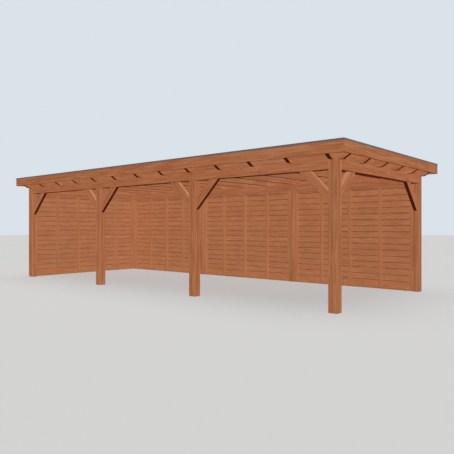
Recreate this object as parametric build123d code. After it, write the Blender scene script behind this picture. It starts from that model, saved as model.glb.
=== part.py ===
from build123d import *
from math import sqrt
import os

# An open-fronted wooden canopy with a flat roof, closed at the back and on the left.
# Millimetres; origin on the ground under the middle of the roof, +X to the right
# seen from the front, +Y to the back, +Z up.

# Timber frame, measured over the outer faces of the posts
frame_length = 9100.0
frame_depth = 3600.0
bay_count = 3
post_width = 150.0
clear_height = 2200.0
beam_height = 150.0

# Braces at 45 degrees, in the middle of the post's thickness
brace_leg = 550.0
brace_width = 150.0
brace_thickness = 70.0

# Joists, side lookouts and the blocking between the joists
joist_count = 13
joist_width = 70.0
joist_height = 195.0
lookout_count = 6
blocking_thickness = 45.0
tail_flat = 75.0
tail_rise = 82.0

# Roof edge and covering
eave_overhang = 240.0
fascia_thickness = 28.0
fascia_rise = 60.0
deck_thickness = 18.0
kerb_width = 45.0
kerb_height = 48.0
membrane_thickness = 2.0
trim_thickness = 2.0
trim_face_height = 30.0
trim_flange_width = 60.0

# Closed walls: battens between the posts, boards on the outside of the battens
batten_width = 45.0
batten_depth = 70.0
board_thickness = 25.0
board_ground_gap = 30.0
back_wall_inset = 50.0
back_studs_per_bay = 3
left_stud_count = 4

# Levels and reaches that follow from the sizes above
half_length = frame_length / 2
half_depth = frame_depth / 2
inner_half_length = half_length - post_width
inner_half_depth = half_depth - post_width
beam_top = clear_height + beam_height
deck_bottom = beam_top + joist_height
deck_top = deck_bottom + deck_thickness
kerb_top = deck_top + kerb_height
membrane_top = kerb_top + membrane_thickness
trim_top = membrane_top + trim_thickness
fascia_bottom = beam_top + fascia_rise
tail_end = beam_top + tail_rise
tail_length = eave_overhang - fascia_thickness
roof_half_length = half_length + eave_overhang
roof_half_depth = half_depth + eave_overhang
deck_half_length = half_length + tail_length
deck_half_depth = half_depth + tail_length
back_wall_line = half_depth - back_wall_inset


def block(x, y, z):
    """A squared timber or sheet between two values along each axis."""
    size = (x[1] - x[0], y[1] - y[0], z[1] - z[0])
    corner = (Align.MIN, Align.MIN, Align.MIN)
    return Pos(x[0], y[0], z[0]) * Box(*size, align=corner)


def spread(first, last, count):
    """Evenly spaced places from first to last, both included."""
    return [first + (last - first) * step / (count - 1) for step in range(count)]


def between(first, last, count):
    """Evenly spaced places that divide a clear width, without its ends."""
    return spread(first, last, count + 2)[1:-1]


def prism_along_y(points, y_middle, width):
    """An outline drawn in X and Z, extruded to both sides of y_middle."""
    outline = Plane.XZ.offset(-y_middle) * Polygon(*points, align=None)
    return extrude(outline, amount=width / 2, both=True)


def prism_along_x(points, x_middle, width):
    """An outline drawn in Y and Z, extruded to both sides of x_middle."""
    outline = Plane.YZ.offset(x_middle) * Polygon(*points, align=None)
    return extrude(outline, amount=width / 2, both=True)


def post_lefts():
    """The left face of each post in a row."""
    return spread(-half_length, inner_half_length, bay_count + 1)


def bay_spans():
    """The clear width between each pair of neighbouring posts."""
    lefts = post_lefts()
    return [(lefts[i] + post_width, lefts[i + 1]) for i in range(bay_count)]


def make_posts():
    """Corner posts run up beside the beams, the others carry them."""
    nodes = {}
    rows = {"front": (-half_depth, -inner_half_depth), "back": (inner_half_depth, half_depth)}
    for row, y in rows.items():
        for number, left in enumerate(post_lefts(), start=1):
            corner = number in (1, bay_count + 1)
            top = beam_top if corner else clear_height
            nodes[f"{row}_post_{number}"] = block((left, left + post_width), y, (0, top))
    return nodes


def make_beams():
    """The ring of beams, flush with the outer faces of the posts."""
    level = (clear_height, beam_top)
    long_span = (-inner_half_length, inner_half_length)
    short_span = (-inner_half_depth, inner_half_depth)
    return {
        "front_beam": block(long_span, (-half_depth, -inner_half_depth), level),
        "back_beam": block(long_span, (inner_half_depth, half_depth), level),
        "left_beam": block((-half_length, -inner_half_length), short_span, level),
        "right_beam": block((inner_half_length, half_length), short_span, level),
    }


def brace_points(face, towards):
    """A brace's side, from a post's face towards the open bay (towards is 1 or -1)."""
    cut = brace_width * sqrt(2)
    low = clear_height - brace_leg
    return [
        (face, low),
        (face + towards * brace_leg, clear_height),
        (face + towards * (brace_leg - cut), clear_height),
        (face, low + cut),
    ]


def make_braces():
    """A pair of braces in each open bay of the front, and in the open right side."""
    nodes = {}
    y_middle = -half_depth + post_width / 2
    number = 0
    for left, right in bay_spans():
        for face, towards in ((left, 1), (right, -1)):
            number += 1
            side = brace_points(face, towards)
            nodes[f"front_brace_{number}"] = prism_along_y(side, y_middle, brace_thickness)
    x_middle = half_length - post_width / 2
    for name, face, towards in (("front", -inner_half_depth, 1), ("back", inner_half_depth, -1)):
        side = brace_points(face, towards)
        nodes[f"right_brace_{name}"] = prism_along_x(side, x_middle, brace_thickness)
    return nodes


def joist_places():
    """Joist centres; the outer joists stand over the middle of the corner posts."""
    reach = half_length - post_width / 2
    return spread(-reach, reach, joist_count)


def make_joists():
    """Joists from fascia to fascia, with both tails bevelled on the underside."""
    flat = half_depth + tail_flat
    side = [
        (-flat, beam_top),
        (flat, beam_top),
        (deck_half_depth, tail_end),
        (deck_half_depth, deck_bottom),
        (-deck_half_depth, deck_bottom),
        (-deck_half_depth, tail_end),
    ]
    return [prism_along_x(side, x, joist_width) for x in joist_places()]


def make_lookouts(towards):
    """Short tails on the outer joist that carry a side fascia (towards is 1 or -1)."""
    start = joist_places()[-1] + joist_width / 2
    reaches = [
        (start, beam_top),
        (half_length + tail_flat, beam_top),
        (deck_half_length, tail_end),
        (deck_half_length, deck_bottom),
        (start, deck_bottom),
    ]
    side = [(towards * x, z) for x, z in reaches]
    reach = half_depth - post_width / 2
    return [prism_along_y(side, y, joist_width) for y in spread(-reach, reach, lookout_count)]


def make_blocking(y):
    """Boards on edge between the joists, over a long beam."""
    places = joist_places()
    half = joist_width / 2
    gaps = [(places[i] + half, places[i + 1] - half) for i in range(joist_count - 1)]
    return [block(gap, y, (beam_top, deck_bottom)) for gap in gaps]


def make_fascias():
    """Front and back fascias run through, the side ones stand between them."""
    level = (fascia_bottom, kerb_top)
    long_span = (-roof_half_length, roof_half_length)
    short_span = (-deck_half_depth, deck_half_depth)
    return {
        "front_fascia": block(long_span, (-roof_half_depth, -deck_half_depth), level),
        "back_fascia": block(long_span, (deck_half_depth, roof_half_depth), level),
        "left_fascia": block((-roof_half_length, -deck_half_length), short_span, level),
        "right_fascia": block((deck_half_length, roof_half_length), short_span, level),
    }


def ring(outer_x, outer_y, inner_x, inner_y, level):
    """A level frame between two rectangles, given by their half sizes."""
    outer = block((-outer_x, outer_x), (-outer_y, outer_y), level)
    return outer - block((-inner_x, inner_x), (-inner_y, inner_y), level)


def make_deck():
    """Roof boarding on the joists and lookouts, inside the fascias."""
    x = (-deck_half_length, deck_half_length)
    y = (-deck_half_depth, deck_half_depth)
    return block(x, y, (deck_bottom, deck_top))


def make_kerbs():
    """Strips on the edge of the deck that make the raised rim of the flat roof."""
    level = (deck_top, kerb_top)
    kerb_x = deck_half_length - kerb_width
    kerb_y = deck_half_depth - kerb_width
    long_span = (-deck_half_length, deck_half_length)
    short_span = (-kerb_y, kerb_y)
    return {
        "long_kerbs": [
            block(long_span, (-deck_half_depth, -kerb_y), level),
            block(long_span, (kerb_y, deck_half_depth), level),
        ],
        "short_kerbs": [
            block((-deck_half_length, -kerb_x), short_span, level),
            block((kerb_x, deck_half_length), short_span, level),
        ],
    }


def make_membrane():
    """One sheet on the deck, turned up the kerbs and over the rim."""
    inner_x = deck_half_length - kerb_width
    inner_y = deck_half_depth - kerb_width
    wall_x = inner_x - membrane_thickness
    wall_y = inner_y - membrane_thickness
    sheet_level = (deck_top, deck_top + membrane_thickness)
    sheet = block((-inner_x, inner_x), (-inner_y, inner_y), sheet_level)
    upstand = ring(inner_x, inner_y, wall_x, wall_y, (deck_top, membrane_top))
    rim = ring(roof_half_length, roof_half_depth, wall_x, wall_y, (kerb_top, membrane_top))
    return sheet + upstand + rim


def make_trims():
    """Bent metal edging: a flange on the rim and a face down the fascia, mitred at the corners."""
    outer_x = roof_half_length + trim_thickness
    outer_y = roof_half_depth + trim_thickness
    inner_x = outer_x - trim_flange_width
    inner_y = outer_y - trim_flange_width
    bottom = trim_top - trim_face_height
    flange = ring(outer_x, outer_y, inner_x, inner_y, (membrane_top, trim_top))
    face = ring(outer_x, outer_y, roof_half_length, roof_half_depth, (bottom, trim_top))
    edging = flange + face
    outer = [(-outer_x, -outer_y), (outer_x, -outer_y), (outer_x, outer_y), (-outer_x, outer_y)]
    inner = [(-inner_x, -inner_y), (inner_x, -inner_y), (inner_x, inner_y), (-inner_x, inner_y)]
    nodes = {}
    for first, side in enumerate(("front", "right", "back", "left")):
        second = (first + 1) % len(outer)
        mitre = Polygon(outer[first], outer[second], inner[second], inner[first], align=None)
        nodes[f"{side}_trim"] = edging & extrude(mitre, amount=trim_top)
    return nodes


def make_cladding():
    """Boarding between the back posts up to the beam, and over the left posts up to the lookouts."""
    back = (back_wall_line, back_wall_line + board_thickness)
    back_level = (board_ground_gap, clear_height)
    nodes = {}
    for number, span in enumerate(bay_spans(), start=1):
        nodes[f"back_cladding_{number}"] = block(span, back, back_level)
    left = (-half_length - board_thickness, -half_length)
    left_level = (board_ground_gap, beam_top)
    nodes["left_cladding"] = block(left, (-half_depth, half_depth), left_level)
    return nodes


def batten_places(span, count):
    """Where the upright battens of one bay start: at both posts and evenly between."""
    start, end = span
    half = batten_width / 2
    inside = [place - half for place in between(start, end, count)]
    return [start] + inside + [end - batten_width]


def make_wall_frames():
    """Upright battens and top and bottom rails that the boards are nailed to."""
    upright = (batten_width, clear_height - batten_width)
    rails = ((0, batten_width), (clear_height - batten_width, clear_height))
    back = (back_wall_line - batten_depth, back_wall_line)
    left = (-half_length, -half_length + batten_depth)
    left_span = (-inner_half_depth, inner_half_depth)
    back_studs = []
    back_rails = []
    for span in bay_spans():
        for start in batten_places(span, back_studs_per_bay):
            back_studs.append(block((start, start + batten_width), back, upright))
        for level in rails:
            back_rails.append(block(span, back, level))
    starts = batten_places(left_span, left_stud_count)
    return {
        "back_studs": back_studs,
        "back_rails": back_rails,
        "left_studs": [block(left, (start, start + batten_width), upright) for start in starts],
        "left_rails": [block(left, left_span, level) for level in rails],
    }


def make_nodes():
    """Every node of the canopy by name: one solid, or a list of solids that stand apart."""
    nodes = {}
    nodes.update(make_posts())
    nodes.update(make_beams())
    nodes.update(make_braces())
    nodes["roof_joists"] = make_joists()
    nodes["left_lookouts"] = make_lookouts(-1)
    nodes["right_lookouts"] = make_lookouts(1)
    nodes["front_blocking"] = make_blocking((-half_depth, -half_depth + blocking_thickness))
    nodes["back_blocking"] = make_blocking((half_depth - blocking_thickness, half_depth))
    nodes.update(make_fascias())
    nodes["roof_deck"] = make_deck()
    nodes.update(make_kerbs())
    nodes["roof_membrane"] = make_membrane()
    nodes.update(make_trims())
    nodes.update(make_cladding())
    nodes.update(make_wall_frames())
    return nodes


os.makedirs("parts", exist_ok=True)
for name, shape in make_nodes().items():
    solids = shape if isinstance(shape, list) else [shape]
    export_step(solids[0] if len(solids) == 1 else Compound(children=solids), f"parts/{name}.step")
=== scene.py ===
import math

import bmesh
import bpy
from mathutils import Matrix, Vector


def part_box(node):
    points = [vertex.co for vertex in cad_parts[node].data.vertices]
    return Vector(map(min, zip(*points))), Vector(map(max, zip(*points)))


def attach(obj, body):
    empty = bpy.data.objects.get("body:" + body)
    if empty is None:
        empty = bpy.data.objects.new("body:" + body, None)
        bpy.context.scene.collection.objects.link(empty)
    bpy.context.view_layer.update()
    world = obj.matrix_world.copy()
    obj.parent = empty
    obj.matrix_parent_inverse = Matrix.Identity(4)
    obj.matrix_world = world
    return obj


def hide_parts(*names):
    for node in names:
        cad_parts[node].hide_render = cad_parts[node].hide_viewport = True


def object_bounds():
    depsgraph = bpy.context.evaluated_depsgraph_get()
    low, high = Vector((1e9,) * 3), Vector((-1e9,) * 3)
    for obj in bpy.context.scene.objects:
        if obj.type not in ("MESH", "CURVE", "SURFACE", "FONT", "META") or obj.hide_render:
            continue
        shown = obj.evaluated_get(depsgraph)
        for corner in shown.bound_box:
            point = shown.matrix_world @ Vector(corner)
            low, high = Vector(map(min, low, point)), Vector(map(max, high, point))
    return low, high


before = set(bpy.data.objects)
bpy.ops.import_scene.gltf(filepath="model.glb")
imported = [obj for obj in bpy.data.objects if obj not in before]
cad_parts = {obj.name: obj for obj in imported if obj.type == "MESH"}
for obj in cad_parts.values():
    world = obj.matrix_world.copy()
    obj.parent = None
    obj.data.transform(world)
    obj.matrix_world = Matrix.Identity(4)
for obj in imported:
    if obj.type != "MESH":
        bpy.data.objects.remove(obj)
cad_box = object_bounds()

# Looks of an open wooden canopy: boards, fasteners, finishes, floor, light and camera
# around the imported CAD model. Metres, +X to the right seen from the front, +Y to the back.

X, Y, Z = 0, 1, 2

# Camera of the photograph
CAMERA_PLACE = (8.264, -8.749, 1.3145)
CAMERA_YAW = math.radians(40.313)
CAMERA_PITCH = math.radians(0.022)
CAMERA_LENS = 40.369
CAMERA_SENSOR = 36.0

# Wall boards and roof boards: half-lapped, with a V where two of them meet. Bevels and arrises
# are a depth and a height, and the smallest row is a share of a full one
WALL_COVER = 0.130
WALL_LAP = 0.012
WALL_BEVEL = (0.006, 0.009)
WALL_ARRIS = (0.003, 0.003)
ROOF_ROWS = 33
ROOF_LAP = 0.006
ROOF_BEVEL = (0.002, 0.0045)
BOARD_GAP = 0.0015
ROOF_GAP = 0.0002
LAP_CLEARANCE = 0.0005
SMALLEST_ROW = 0.05

# Rounded arrises of the planed timbers
FRAME_ARRIS = 0.003
SLIM_ARRIS = 0.0015
ARRIS_SEGMENTS = 2
ARRIS_ANGLE = math.radians(30)
WELD_DISTANCE = 0.00005
FLAT_ANGLE = math.radians(1)

# Screw heads: rings from the rim to the drive recess, as (radius, height)
SCREW_RINGS = ((0.0042, 0.0), (0.0036, 0.0007), (0.0019, 0.0010), (0.0015, 0.0002))
SCREW_SIDES = 10
SCREW_FROM_EDGE = 0.030

# Stained softwood, as linear colours: dark wood, light wood, red streaks, late wood and knots
WOOD_COLOURS = (
    (0.313, 0.111, 0.046),
    (0.448, 0.203, 0.099),
    (0.384, 0.134, 0.061),
    (0.288, 0.097, 0.038),
    (0.150, 0.042, 0.017),
)

# Tint of each group of timbers, set against the photograph under this scene's lamps
BACK_TINT = (1.03, 1.09, 1.125)
LEFT_TINT = (0.985, 1.08, 1.16)
ROOF_TINT = (0.95, 1.00, 1.04)
BATTEN_TINT = (0.94, 1.03, 1.06)
BEAM_TINT = (1.0, 0.975, 0.975)
# Painted shade: the beams inside, under the roof, get a darker copy of the beam wood
INNER_BEAM_PAINTED_SHADE = (0.945, 0.94, 0.935)
JOIST_TINT = (0.89, 0.96, 1.0)
FRONT_BRACE_TINT = (1.02, 0.975, 0.975)
RIGHT_BRACE_TINT = (1.07, 1.07, 1.11)

# Marks on the wood. A pattern is given by its repeats in a metre, twice across the grain and then
# along it, and the painted sheen on faces that look up by its thinnest and thickest share
STREAK = (34, 34, 2.0)
PATCH = (8, 8, 0.9)
RED_STREAK = (16, 16, 0.8)
VEIN = (75, 75, 1.1)
FIBRE = (620, 620, 9.0)
KNOT = (6.0, 6.0, 4.2)
JOINT_STAIN = (0.93, 0.74, 0.62, 1)
# Colour and share of the painted sheen, a pale film standing in for light on faces that look up
PAINTED_SHEEN_COLOUR = (0.25, 0.22, 0.156, 1)
PAINTED_SHEEN_SHARE = (0.16, 0.28)
JOINT_OFFSET = 0.004
CHECK_OFFSET = (-0.010, -0.004)
RING_WIDTH = 0.008
RING_TURN = 40.0
ISLAND_SHIFT = (5.3, 7.9, 31.0)
WOOD_SPECULAR = 0.05
WOOD_BUMP = 0.0009
BUMP_STRENGTH = 0.6

# Lift makes a timber lighter, and figure makes it more streaked
POST_LIFT = 0.06
BRACE_LIFT = 0.10
STUD_LIFT = 0.05
OWN_LIFT = 0.06
FRAME_FIGURE = 1.7
PLAIN_FIGURE = 1.0
WALL_FIGURE = 0.85
WALL_SHORTENING = 2.0

# Roof sheet, edging and screws, as linear colours from dark to light
RUBBER_COLOURS = ((0.035, 0.036, 0.038, 1), (0.055, 0.055, 0.054, 1))
RUBBER_SPECK = (0.11, 0.11, 0.105, 1)
RUBBER_SPECULAR = 0.2
RUBBER_BUMP = 0.002
METAL_COLOURS = ((0.106, 0.097, 0.092, 1), (0.144, 0.131, 0.124, 1))
METAL_SPECULAR = 0.06
METAL_BUMP = 0.0002
STEEL_COLOURS = ((0.150, 0.062, 0.030, 1), (0.230, 0.098, 0.050, 1))
STEEL_METALLIC = 0.4
STEEL_BUMP = 0.0001

# Studio
SKY_COLOUR = (0.701, 0.761, 0.823, 1)
AMBIENT_COLOUR = (1.0, 0.72, 0.36, 1)
AMBIENT_STRENGTH = 0.06
FLOOR_COLOUR = (0.330, 0.333, 0.332, 1)
FLOOR_BOUNCE = (0.066, 0.021, 0.002, 1)
FLOOR_REACH = 80.0
FLOOR_SIDES = 128
FLOOR_DROP = 0.0005

# Lamps: azimuth from the front towards the right, elevation and width in degrees
FRONT_LAMP = {"azimuth": 47, "elevation": 38, "strength": 4.95, "width": 12, "shade": False}
BACK_LAMP = {"azimuth": 227, "elevation": 20, "strength": 4.2, "width": 12, "shade": False}
TOP_LAMP = {"azimuth": 0, "elevation": 90, "strength": 1.5, "width": 60, "shade": True}


class Shader:
    """A node material, with short calls for the nodes that the finishes share."""

    def __init__(self, name):
        self.material = bpy.data.materials.new(name)
        self.material.use_nodes = True
        self.nodes = self.material.node_tree.nodes
        self.links = self.material.node_tree.links
        self.surface = self.nodes["Principled BSDF"]

    def feed(self, socket, value):
        """Links another node's output to a socket, or sets the socket's own value."""
        if isinstance(value, bpy.types.NodeSocket):
            self.links.new(value, socket)
        else:
            socket.default_value = value

    def node(self, kind, inputs=None, **settings):
        made = self.nodes.new("ShaderNode" + kind)
        for name, value in settings.items():
            setattr(made, name, value)
        for key, value in (inputs or {}).items():
            self.feed(made.inputs[key], value)
        return made

    def math(self, operation, first, second=0.0):
        return self.node("Math", {0: first, 1: second}, operation=operation).outputs[0]

    def vector(self, operation, first, second):
        return self.node("VectorMath", {0: first, 1: second}, operation=operation).outputs[0]

    def noise(self, place, scale, detail=2.0, roughness=0.5):
        """Noise between 0 and 1, with its own frequency along each axis."""
        scaled = self.vector("MULTIPLY", place, scale)
        inputs = {"Vector": scaled, "Scale": 1.0, "Detail": detail, "Roughness": roughness}
        return self.node("TexNoise", inputs).outputs[0]

    def remap(self, value, low, high, new_low=0.0, new_high=1.0):
        inputs = {0: value, 1: low, 2: high, 3: new_low, 4: new_high}
        return self.node("MapRange", inputs).outputs[0]

    def mix(self, factor, first, second, blend="MIX"):
        """Blends two colours; the node keeps its colour sockets at 6 and 7 and its result at 2."""
        inputs = {0: factor, 6: first, 7: second}
        return self.node("Mix", inputs, data_type="RGBA", blend_type=blend).outputs[2]

    def repeat(self, value, start, pitch):
        """How far a length lies from the nearest of the lines that start, start + pitch and so on."""
        turns = self.math("DIVIDE", self.math("SUBTRACT", value, start), pitch)
        part = self.math("FRACT", self.math("ADD", turns, 0.5))
        return self.math("MULTIPLY", self.math("SUBTRACT", part, 0.5), pitch)

    def finish(self, colour, roughness, height, depth):
        """Feeds the surface: colour, roughness, and a bump of the given depth in metres."""
        bump = self.node("Bump", {"Strength": BUMP_STRENGTH, "Distance": depth, "Height": height})
        self.feed(self.surface.inputs["Base Color"], colour)
        self.feed(self.surface.inputs["Roughness"], roughness)
        self.feed(self.surface.inputs["Normal"], bump.outputs[0])
        return self.material


def grain_place(shader, along, turn):
    """Object space turned so that its third axis is the grain, shifted for each timber."""
    place = shader.node("TexCoord").outputs["Object"]
    if turn:
        axis, angle = turn
        spin = {"Vector": place, "Angle": angle}
        place = shader.node("VectorRotate", spin, rotation_type=axis + "_AXIS").outputs[0]
    parts = shader.node("SeparateXYZ", {0: place}).outputs
    order = [axis for axis in (X, Y, Z) if axis != along] + [along]
    inputs = {slot: parts[axis] for slot, axis in enumerate(order)}
    own = shader.node("NewGeometry").outputs["Random Per Island"]
    shift = shader.vector("MULTIPLY", ISLAND_SHIFT, own)
    return shader.vector("ADD", shader.node("CombineXYZ", inputs).outputs[0], shift), own


def growth_rings(shader, grain, own):
    """Year rings as wavy layers, lying at another angle in each timber: 0 early, 1 late wood."""
    angle = shader.math("MULTIPLY", own, RING_TURN)
    parts = shader.node("SeparateXYZ", {0: grain}).outputs
    side = shader.math("MULTIPLY", parts[0], shader.math("COSINE", angle))
    depth = shader.math("MULTIPLY", parts[1], shader.math("SINE", angle))
    wander = shader.math("MULTIPLY", shader.noise(grain, (2.2, 2.2, 0.35)), 0.09)
    flame = shader.math("MULTIPLY", shader.noise(grain, (11, 11, 1.3)), 0.018)
    flat = shader.math("ADD", side, depth)
    layers = shader.math("ADD", flat, shader.math("ADD", wander, flame))
    phase = shader.math("FRACT", shader.math("DIVIDE", layers, RING_WIDTH))
    return shader.remap(phase, 0.35, 0.95)


def knots(shader, grain):
    """Sparse round knots, 0 to 1."""
    scaled = shader.vector("MULTIPLY", grain, KNOT)
    cells = shader.node("TexVoronoi", {"Vector": scaled, "Scale": 1.0}, feature="F1").outputs
    lot = shader.node("SeparateColor", {0: cells["Color"]}).outputs[0]
    chosen = shader.math("GREATER_THAN", lot, 0.55)
    return shader.math("MULTIPLY", shader.remap(cells["Distance"], 0.10, 0.04), chosen)


def joint_stain(shader, start):
    """Ragged dark stain along the joints between the wall boards, 0 to 1."""
    place = shader.node("TexCoord").outputs["Object"]
    height = shader.node("SeparateXYZ", {0: place}).outputs[Z]
    from_joint = shader.math("ABSOLUTE", shader.repeat(height, start, WALL_COVER))
    ragged = shader.remap(shader.noise(place, (7, 7, 16), 4.0, 0.6), 0.3, 0.7, -0.009, 0.009)
    strength = shader.remap(shader.noise(place, (5, 5, 9), 3.0), 0.35, 0.65, 0.52, 0.90)
    stain = shader.remap(shader.math("ADD", from_joint, ragged), 0.003, 0.020, 1.0, 0.0)
    return shader.math("MULTIPLY", stain, strength)


def drying_checks(shader, grain):
    """Dark drying checks down the middle of each face of the posts, 0 to 1."""
    place = shader.node("TexCoord").outputs["Object"]
    parts = shader.node("SeparateXYZ", {0: place}).outputs
    first, across, behind = map(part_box, ("front_post_1", "front_post_2", "back_post_1"))
    wander = shader.remap(shader.noise(grain, (3, 3, 1.6), 3.0), 0.3, 0.7, -0.008, 0.008)
    found = 0.0
    for axis, other in ((X, across), (Y, behind)):
        middle = (first[0][axis] + first[1][axis]) / 2
        pitch = other[0][axis] - first[0][axis]
        offset = shader.repeat(parts[axis], middle + CHECK_OFFSET[axis], pitch)
        away = shader.math("ABSOLUTE", shader.math("ADD", offset, wander))
        line = shader.remap(away, 0.004, 0.017, 1.0, 0.0)
        found = shader.math("MAXIMUM", line, found)
    strength = shader.remap(shader.noise(grain, (1, 1, 2.4), 3.0), 0.3, 0.6, 0.50, 1.00)
    return shader.math("MULTIPLY", found, strength)


def painted_sheen_on_tops(shader):
    """Painted sheen on the faces that look up, 0 to 1: a pale film standing in for light."""
    geometry = shader.node("NewGeometry").outputs
    up = shader.node("SeparateXYZ", {0: geometry["Normal"]}).outputs[Z]
    place = shader.node("TexCoord").outputs["Object"]
    sheen_share = shader.remap(shader.noise(place, (9, 9, 9), 3.0), 0.3, 0.7, *PAINTED_SHEEN_SHARE)
    return shader.math("MULTIPLY", shader.remap(up, 0.35, 0.70), sheen_share)


def tinted(colour, tint):
    """A colour with its red, green and blue each scaled."""
    return [part * scale for part, scale in zip(colour, tint)] + [1]


def shortened(pattern, times):
    """A pattern that repeats more often along the grain."""
    return (pattern[0], pattern[1], pattern[2] * times)


def wood_tone(shader, grain, own, streak, lift, figure, short):
    """From dark to light wood, 0 to 1: streaks, broad patches, and each timber's own tone."""
    patch = shader.noise(grain, shortened(PATCH, short))
    tone = shader.remap(streak, 0.35, 0.65, 0.5 - 0.32 * figure, 0.5 + 0.32 * figure)
    patches = shader.remap(patch, 0.3, 0.7, -0.15 * figure, 0.15 * figure)
    each = shader.remap(own, 0.0, 1.0, lift - OWN_LIFT, lift + OWN_LIFT)
    return shader.math("ADD", shader.math("ADD", tone, patches), each)


def wood(name, along, turn=None, lift=0.0, tint=(1, 1, 1), figure=FRAME_FIGURE, short=1.0,
         joints=None, checks=False, dust_and_sheen=False):
    """Planed, stained softwood with the grain along one axis. Short cuts the streaks' length, and
    joints is the height of the lowest joint between boards, where there are any."""
    dark, light, red, late, knot = [tinted(colour, tint) for colour in WOOD_COLOURS]
    shader = Shader(name)
    grain, own = grain_place(shader, along, turn)
    streak = shader.noise(grain, shortened(STREAK, short), 5.0, 0.62)
    fibre = shader.noise(grain, FIBRE)
    rings = growth_rings(shader, grain, own)
    redness = shader.noise(grain, shortened(RED_STREAK, short), 3.0)
    vein = shader.noise(grain, VEIN, 3.0)
    tone = wood_tone(shader, grain, own, streak, lift, figure, short)
    colour = shader.mix(tone, dark, light)
    colour = shader.mix(shader.remap(redness, 0.50, 0.72, 0.0, 0.75), colour, red)
    colour = shader.mix(shader.remap(vein, 0.55, 0.70, 0.0, 0.45), colour, late)
    colour = shader.mix(shader.math("MULTIPLY", rings, 0.25), colour, late)
    colour = shader.mix(shader.remap(fibre, 0.45, 0.80, 0.0, 0.22), colour, late)
    if checks:
        colour = shader.mix(drying_checks(shader, grain), colour, late)
    if joints is not None:
        colour = shader.mix(joint_stain(shader, joints), colour, JOINT_STAIN, "MULTIPLY")
    colour = shader.mix(shader.math("MULTIPLY", knots(shader, grain), 0.75), colour, knot)
    # Painted sheen: faces that look up are mixed toward a pale colour, standing in for light on them
    if dust_and_sheen:
        colour = shader.mix(painted_sheen_on_tops(shader), colour, PAINTED_SHEEN_COLOUR)
    shader.surface.inputs["Specular IOR Level"].default_value = WOOD_SPECULAR
    roughness = shader.remap(streak, 0.2, 0.8, 0.92, 0.75)
    raised = shader.math("MULTIPLY", fibre, 0.6)
    height = shader.math("SUBTRACT", raised, shader.math("MULTIPLY", rings, 0.4))
    return shader.finish(colour, roughness, height, WOOD_BUMP)


def roof_rubber():
    """Dark grey roof sheet: dusty, faintly wrinkled."""
    shader = Shader("roof_rubber")
    place = shader.node("TexCoord").outputs["Object"]
    dust_and_sheen = shader.noise(place, (0.9, 0.9, 0.9), 5.0, 0.6)
    speck = shader.noise(place, (260, 260, 260), 2.0)
    wrinkle = shader.noise(place, (1.6, 5.0, 3.0), 3.0)
    colour = shader.mix(shader.remap(dust_and_sheen, 0.35, 0.7), *RUBBER_COLOURS)
    colour = shader.mix(shader.remap(speck, 0.6, 0.8, 0.0, 0.3), colour, RUBBER_SPECK)
    shader.surface.inputs["Specular IOR Level"].default_value = RUBBER_SPECULAR
    height = shader.math("ADD", wrinkle, shader.math("MULTIPLY", speck, 0.05))
    return shader.finish(colour, shader.remap(dust_and_sheen, 0.3, 0.7, 0.82, 0.95), height, RUBBER_BUMP)


def grey_metal():
    """Coated grey edging with a fine texture and faint run marks."""
    shader = Shader("grey_metal")
    place = shader.node("TexCoord").outputs["Object"]
    marks = shader.noise(place, (3.0, 3.0, 40.0), 4.0, 0.6)
    pitting = shader.noise(place, (1400, 1400, 1400), 1.0)
    colour = shader.mix(shader.remap(marks, 0.3, 0.7), *METAL_COLOURS)
    shader.surface.inputs["Specular IOR Level"].default_value = METAL_SPECULAR
    return shader.finish(colour, shader.remap(marks, 0.3, 0.7, 0.42, 0.55), pitting, METAL_BUMP)


def screw_steel():
    """Brown-coated steel, close to the wood's own tone."""
    shader = Shader("screw_steel")
    place = shader.node("TexCoord").outputs["Object"]
    tarnish = shader.noise(place, (90, 90, 90), 3.0)
    colour = shader.mix(shader.remap(tarnish, 0.3, 0.7), *STEEL_COLOURS)
    shader.surface.inputs["Metallic"].default_value = STEEL_METALLIC
    return shader.finish(colour, shader.remap(tarnish, 0.3, 0.7, 0.35, 0.55), tarnish, STEEL_BUMP)


def make_finishes():
    """Every finish by name. Braces lie at 45 degrees, so their grain is turned."""
    up, down = math.radians(45), math.radians(-45)
    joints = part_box("left_cladding")[0].z + WALL_LAP + JOINT_OFFSET
    board = {"figure": WALL_FIGURE, "short": WALL_SHORTENING, "joints": joints}
    # The braces' upper faces get a painted sheen, a pale film standing in for light
    front = {"lift": BRACE_LIFT, "tint": FRONT_BRACE_TINT, "dust_and_sheen": True}
    right = {"lift": BRACE_LIFT, "tint": RIGHT_BRACE_TINT, "dust_and_sheen": True}
    batten = {"tint": BATTEN_TINT, "figure": PLAIN_FIGURE}
    return {
        "post": wood("post_wood", Z, lift=POST_LIFT, checks=True),
        "long_timber": wood("long_timber_wood", X, tint=BEAM_TINT),
        "cross_timber": wood("cross_timber_wood", Y, tint=BEAM_TINT),
        # Painted shade: the back and left beams take a darker copy of the beam wood
        "back_timber": wood("back_timber_wood", X, tint=INNER_BEAM_PAINTED_SHADE),
        "left_timber": wood("left_timber_wood", Y, tint=INNER_BEAM_PAINTED_SHADE),
        "brace_right": wood("brace_right_wood", X, ("Y", up), **front),
        "brace_left": wood("brace_left_wood", X, ("Y", down), **front),
        "brace_back": wood("brace_back_wood", Y, ("X", down), **right),
        "brace_front": wood("brace_front_wood", Y, ("X", up), **right),
        "long_board": wood("long_board_wood", X, tint=BACK_TINT, **board),
        "cross_board": wood("cross_board_wood", Y, tint=LEFT_TINT, **board),
        "roof_board": wood("roof_board_wood", X, tint=ROOF_TINT, figure=PLAIN_FIGURE),
        "joist": wood("joist_wood", Y, tint=JOIST_TINT),
        "lookout": wood("lookout_wood", X, tint=ROOF_TINT),
        "stud": wood("stud_wood", Z, lift=STUD_LIFT, **batten),
        "long_rail": wood("long_rail_wood", X, **batten),
        "cross_rail": wood("cross_rail_wood", Y, **batten),
        "rubber": roof_rubber(),
        "metal": grey_metal(),
        "steel": screw_steel(),
    }


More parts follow.
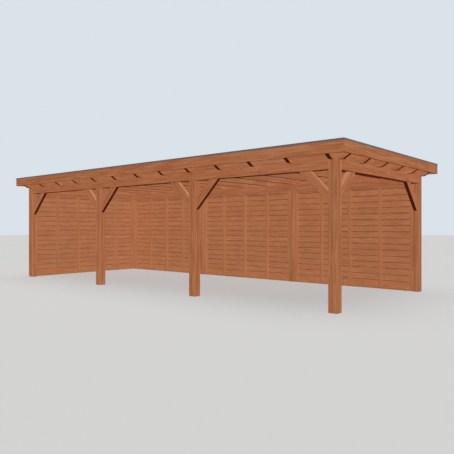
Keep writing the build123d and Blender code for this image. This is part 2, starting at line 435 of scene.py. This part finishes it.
def node_finishes():
    """Which finish each CAD node gets."""
    table = {f"{row}_post_{n}": "post" for row in ("front", "back") for n in (1, 2, 3, 4)}
    table.update({f"front_brace_{n}": "brace_right" if n % 2 else "brace_left" for n in range(1, 7)})
    table.update({"right_brace_front": "brace_back", "right_brace_back": "brace_front"})
    for row in ("front", "back"):
        table.update({f"{row}_fascia": "long_timber", f"{row}_blocking": "lookout"})
    for side in ("left", "right"):
        table.update({f"{side}_fascia": "cross_timber", f"{side}_lookouts": "lookout"})
    table.update({"front_beam": "long_timber", "back_beam": "back_timber"})
    table.update({"right_beam": "cross_timber", "left_beam": "left_timber"})
    table.update({"long_kerbs": "long_timber", "short_kerbs": "cross_timber"})
    table.update({"back_studs": "stud", "back_rails": "long_rail"})
    table.update({"left_studs": "stud", "left_rails": "cross_rail"})
    table.update({f"{side}_trim": "metal" for side in ("front", "back", "left", "right")})
    table.update({"roof_joists": "joist", "roof_membrane": "rubber"})
    return table


def soften(node, width):
    """Rounds a timber's arrises by modifiers, so the CAD mesh itself stays as it is."""
    weld = node.modifiers.new("weld", "WELD")
    weld.merge_threshold = WELD_DISTANCE
    flatten = node.modifiers.new("flatten", "DECIMATE")
    flatten.decimate_type = "DISSOLVE"
    flatten.angle_limit = FLAT_ANGLE
    bevel = node.modifiers.new("arris", "BEVEL")
    bevel.width = width
    bevel.segments = ARRIS_SEGMENTS
    bevel.limit_method = "ANGLE"
    bevel.angle_limit = ARRIS_ANGLE


def dress_nodes(finishes):
    for name, finish in node_finishes().items():
        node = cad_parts[name]
        node.material_slots[0].material = finishes[finish]
        if finish not in ("metal", "rubber"):
            soften(node, FRAME_ARRIS if name.endswith("beam") or "post" in name else SLIM_ARRIS)


def add_piece(name, vertices, faces, material):
    """A mesh in the part's frame that rides on its one body."""
    mesh = bpy.data.meshes.new(name)
    mesh.from_pydata(vertices, [], faces)
    shape = bmesh.new()
    shape.from_mesh(mesh)
    bmesh.ops.recalc_face_normals(shape, faces=shape.faces)
    shape.to_mesh(mesh)
    shape.free()
    mesh.materials.append(material)
    piece = bpy.data.objects.new(name, mesh)
    bpy.context.scene.collection.objects.link(piece)
    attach(piece, "root")
    return piece


def board_outline(low, high, thickness, lap_below, lap_above, bevel, arris):
    """A half-lapped board's section as (depth, height): depth 0 is the face with the tongue.
    The lower edges have the bevel and the upper ones the arris, each a depth and a height.
    Points that fall together, as where there is no lap, are kept once."""
    middle = thickness / 2
    lip_low, lip_high = low - lap_below, high - lap_above
    points = [
        (bevel[0], low),
        (0, low + bevel[1]),
        (0, high - arris[1]),
        (arris[0], high),
        (middle - LAP_CLEARANCE, high),
        (middle - LAP_CLEARANCE, lip_high),
        (thickness - arris[0], lip_high),
        (thickness, lip_high - arris[1]),
        (thickness, lip_low + bevel[1]),
        (thickness - bevel[0], lip_low),
        (middle + LAP_CLEARANCE, lip_low),
        (middle + LAP_CLEARANCE, low),
    ]
    return list(dict.fromkeys(points))


def add_prism(vertices, faces, outline, span, place):
    """Draws an outline out from span's start to its end.
    Place turns a length along it, a depth and a height into a point."""
    first, count = len(vertices), len(outline)
    for along in span:
        vertices.extend(place(along, depth, height) for depth, height in outline)
    start = list(range(first, first + count))
    faces.append(start)
    faces.append([index + count for index in reversed(start)])
    for step in range(count):
        near, far = start[step], start[(step + 1) % count]
        faces.append([far, near, near + count, far + count])


def row_edges(low, high, cover):
    """The lower edge of each row, and the top edge of the last.
    A rest that is less than the smallest share of a row joins the row below."""
    count = math.ceil((high - low) / cover - SMALLEST_ROW)
    return [low + cover * row for row in range(count)] + [high]


def wall_rows(box):
    return row_edges(box[0].z + WALL_LAP, box[1].z, WALL_COVER)


def wall_boards(name, node, along, out, material):
    """Rows of lapped boards in the room of a cladding node; out is the outward axis and sign."""
    low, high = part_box(node)
    axis, sign = out
    inner = low[axis] if sign > 0 else high[axis]
    thickness = high[axis] - low[axis]
    edges = wall_rows((low, high))

    def place(length, depth, height):
        point = [0, 0, height]
        point[along] = length
        point[axis] = inner + sign * depth
        return point

    vertices, faces = [], []
    for row in range(len(edges) - 1):
        last = row == len(edges) - 2
        top = edges[row + 1] - (0 if last else BOARD_GAP)
        above = 0 if last else WALL_LAP
        outline = board_outline(edges[row], top, thickness, WALL_LAP, above, WALL_BEVEL, WALL_ARRIS)
        add_prism(vertices, faces, outline, (low[along], high[along]), place)
    piece = add_piece(name, vertices, faces, material)
    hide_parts(node)


def roof_boards(material):
    """Matched boards across the joists, with the V side down."""
    low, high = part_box("roof_deck")
    cover = (high.y - low.y) / ROOF_ROWS
    vertices, faces = [], []

    def place(length, depth, height):
        return (length, height, low.z + depth)

    for row in range(ROOF_ROWS):
        start = low.y + row * cover
        below = 0 if row == 0 else ROOF_LAP
        above = 0 if row == ROOF_ROWS - 1 else ROOF_LAP
        end = start + cover - ROOF_GAP
        outline = board_outline(start, end, high.z - low.z, below, above, ROOF_BEVEL, ROOF_BEVEL)
        add_prism(vertices, faces, outline, (low.x, high.x), place)
    piece = add_piece("roof_boards", vertices, faces, material)
    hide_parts("roof_deck")


def timber_lines(node, axis):
    """The middle of each timber of a node, along one axis."""
    edges = sorted({round(v.co[axis], 4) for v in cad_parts[node].data.vertices})
    return [(edges[i] + edges[i + 1]) / 2 for i in range(0, len(edges), 2)]


def add_screw(vertices, faces, centre, out):
    """A screw head on a face that looks along out, an axis and a sign."""
    axis, sign = out
    first_side, second_side = [other for other in (X, Y, Z) if other != axis]
    first = len(vertices)
    for radius, height in SCREW_RINGS:
        for step in range(SCREW_SIDES):
            turn = 2 * math.pi * step / SCREW_SIDES
            point = list(centre)
            point[first_side] += radius * math.cos(turn)
            point[second_side] += radius * math.sin(turn)
            point[axis] += sign * height
            vertices.append(point)
    starts = [first + ring * SCREW_SIDES for ring in range(len(SCREW_RINGS))]
    rings = [list(range(start, start + SCREW_SIDES)) for start in starts]
    faces.append(rings[0][::-1])
    faces.append(rings[-1])
    for low, high in zip(rings, rings[1:]):
        for step in range(SCREW_SIDES):
            after = (step + 1) % SCREW_SIDES
            faces.append([low[step], low[after], high[after], high[step]])


def screw_heights(edges):
    """Near the lower and the upper edge of each row of wall boards."""
    heights = []
    for low, high in zip(edges, edges[1:]):
        heights.append(low - WALL_LAP + SCREW_FROM_EDGE)
        heights.append(high - WALL_LAP - SCREW_FROM_EDGE)
    return heights


def wall_screws(name, nodes, lines, along, out, material):
    """Two screws through each board at each of the lines across it."""
    axis, sign = out
    vertices, faces = [], []
    for node in nodes:
        low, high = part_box(node)
        heights = screw_heights(wall_rows((low, high)))
        outer = high[axis] if sign > 0 else low[axis]
        for line in [line for line in lines if low[along] < line < high[along]]:
            for height in heights:
                centre = [0, 0, height]
                centre[along] = line
                centre[axis] = outer
                add_screw(vertices, faces, centre, out)
    add_piece(name, vertices, faces, material)


def fascia_screws(name, fascia, timbers, along, out, material):
    """Two screws into the end of each joist or lookout behind a fascia."""
    low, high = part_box(fascia)
    axis, sign = out
    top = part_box(timbers)[1].z
    vertices, faces = [], []
    for line in timber_lines(timbers, along):
        for height in (low.z + SCREW_FROM_EDGE, top - SCREW_FROM_EDGE):
            centre = [0, 0, height]
            centre[along] = line
            centre[axis] = high[axis] if sign > 0 else low[axis]
            add_screw(vertices, faces, centre, out)
    add_piece(name, vertices, faces, material)


def make_boards(finishes):
    back_nodes = [f"back_cladding_{n}" for n in (1, 2, 3)]
    for number, node in enumerate(back_nodes, start=1):
        wall_boards(f"back_boards_{number}", node, X, (Y, 1), finishes["long_board"])
    wall_boards("left_boards", "left_cladding", Y, (X, -1), finishes["cross_board"])
    roof_boards(finishes["roof_board"])
    steel = finishes["steel"]
    back_lines = timber_lines("back_studs", X)
    post_lines = [timber_lines(f"{row}_post_1", Y)[0] for row in ("front", "back")]
    left_lines = timber_lines("left_studs", Y) + post_lines
    wall_screws("back_wall_screws", back_nodes, back_lines, X, (Y, 1), steel)
    wall_screws("left_wall_screws", ["left_cladding"], left_lines, Y, (X, -1), steel)
    fascia_screws("front_fascia_screws", "front_fascia", "roof_joists", X, (Y, -1), steel)
    fascia_screws("back_fascia_screws", "back_fascia", "roof_joists", X, (Y, 1), steel)
    fascia_screws("left_fascia_screws", "left_fascia", "left_lookouts", Y, (X, -1), steel)
    fascia_screws("right_fascia_screws", "right_fascia", "right_lookouts", Y, (X, 1), steel)


def seen_directly(nodes, links):
    """1 for camera, glossy and transmission rays, 0 for the light that bounces."""
    path = nodes.new("ShaderNodeLightPath")
    total = path.outputs["Is Camera Ray"]
    for name in ("Is Glossy Ray", "Is Transmission Ray"):
        largest = nodes.new("ShaderNodeMath")
        largest.operation = "MAXIMUM"
        links.new(total, largest.inputs[0])
        links.new(path.outputs[name], largest.inputs[1])
        total = largest.outputs[0]
    return total


def make_floor():
    """A plain pale round floor that throws little light back up."""
    level = cad_box[0].z - FLOOR_DROP
    turns = [2 * math.pi * step / FLOOR_SIDES for step in range(FLOOR_SIDES)]
    rim = [(FLOOR_REACH * math.cos(turn), FLOOR_REACH * math.sin(turn), level) for turn in turns]
    mesh = bpy.data.meshes.new("floor")
    mesh.from_pydata(rim, [], [range(FLOOR_SIDES)])
    shader = Shader("floor_grey")
    seen = seen_directly(shader.nodes, shader.links)
    colour = shader.mix(seen, FLOOR_BOUNCE, FLOOR_COLOUR)
    shader.surface.inputs["Specular IOR Level"].default_value = 0.0
    shader.surface.inputs["Roughness"].default_value = 1.0
    shader.feed(shader.surface.inputs["Base Color"], colour)
    mesh.materials.append(shader.material)
    floor = bpy.data.objects.new("floor", mesh)
    bpy.context.scene.collection.objects.link(floor)


def make_world():
    """A pale backdrop for the camera and a weak even light for everything else."""
    world = bpy.data.worlds.new("studio")
    bpy.context.scene.world = world
    world.use_nodes = True
    nodes, links = world.node_tree.nodes, world.node_tree.links
    ambient = nodes["Background"]
    ambient.inputs["Color"].default_value = AMBIENT_COLOUR
    ambient.inputs["Strength"].default_value = AMBIENT_STRENGTH
    backdrop = nodes.new("ShaderNodeBackground")
    backdrop.inputs["Color"].default_value = SKY_COLOUR
    mix = nodes.new("ShaderNodeMixShader")
    links.new(seen_directly(nodes, links), mix.inputs[0])
    links.new(ambient.outputs[0], mix.inputs[1])
    links.new(backdrop.outputs[0], mix.inputs[2])
    links.new(mix.outputs[0], nodes["World Output"].inputs["Surface"])


def add_sun(name, azimuth, elevation, strength, width, shade):
    """A soft distant lamp. One that throws no shade gives no highlights either."""
    turn, rise = math.radians(azimuth), math.radians(elevation)
    level = math.cos(rise)
    towards = Vector((math.sin(turn) * level, -math.cos(turn) * level, math.sin(rise)))
    lamp = bpy.data.lights.new(name, "SUN")
    lamp.energy = strength
    lamp.angle = math.radians(width)
    lamp.use_shadow = shade
    sun = bpy.data.objects.new(name, lamp)
    sun.rotation_euler = towards.to_track_quat("Z", "Y").to_euler()
    sun.visible_glossy = shade
    bpy.context.scene.collection.objects.link(sun)


def make_lights():
    """Even light from the front right and the back left that throws no shadow, as in the
    photograph, and a weak one from above that does."""
    add_sun("front_lamp", **FRONT_LAMP)
    add_sun("back_lamp", **BACK_LAMP)
    add_sun("top_lamp", **TOP_LAMP)


def make_camera():
    data = bpy.data.cameras.new("camera")
    data.lens = CAMERA_LENS
    data.sensor_width = CAMERA_SENSOR
    data.clip_end = 4 * FLOOR_REACH
    camera = bpy.data.objects.new("camera", data)
    camera.location = CAMERA_PLACE
    camera.rotation_euler = (math.pi / 2 + CAMERA_PITCH, 0, CAMERA_YAW)
    bpy.context.scene.collection.objects.link(camera)
    bpy.context.scene.camera = camera


bpy.context.scene.view_settings.view_transform = "Standard"
all_finishes = make_finishes()
dress_nodes(all_finishes)
make_boards(all_finishes)
make_floor()
make_world()
make_lights()
make_camera()
